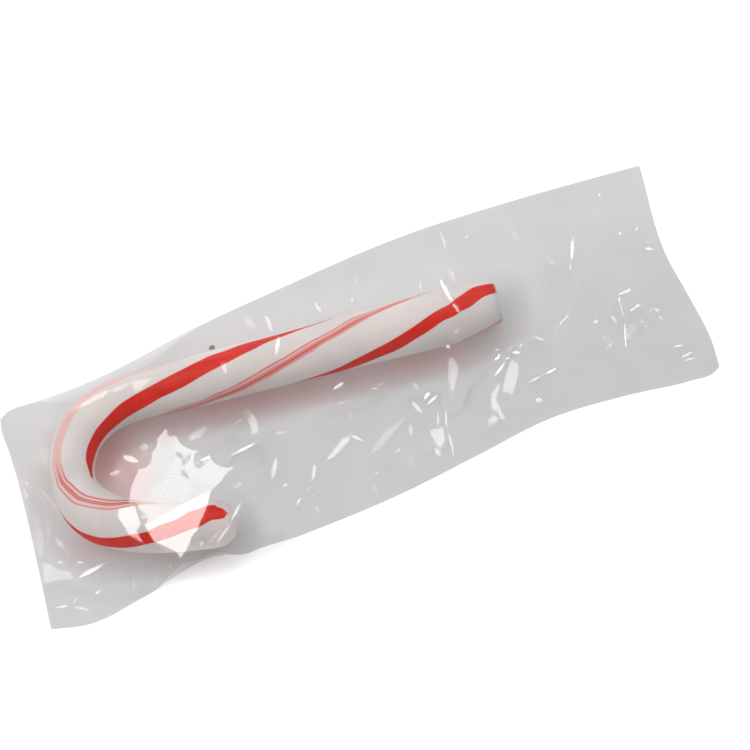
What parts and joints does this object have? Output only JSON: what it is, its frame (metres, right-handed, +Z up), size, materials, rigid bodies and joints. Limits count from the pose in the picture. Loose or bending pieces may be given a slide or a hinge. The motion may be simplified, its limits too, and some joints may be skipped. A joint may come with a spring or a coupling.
{
  "type": "candy cane",
  "caption": "Small candy cane with red twisted stripes, sealed in a flat clear film wrapper and lying on its side, hook bent round to one side.",
  "frame": {"origin": "middle of the wrapper's footprint, on the surface it lies on", "axes": "+X along the wrapper's length, from the hook's end to the end beyond the shaft; +Y across it, from the hook's tip towards the shaft; +Z up, away from the surface"},
  "size_m": [0.0961, 0.034, 0.0086],
  "materials": {
    "candy": "smooth boiled sugar, off-white with red stripes that twist along the rod",
    "film": "thin clear glossy film, creased, with sealed ends"
  },
  "bodies": {
    "root": {"candy_cane": "candy", "wrapper": "film"}
  },
  "joints": []
}
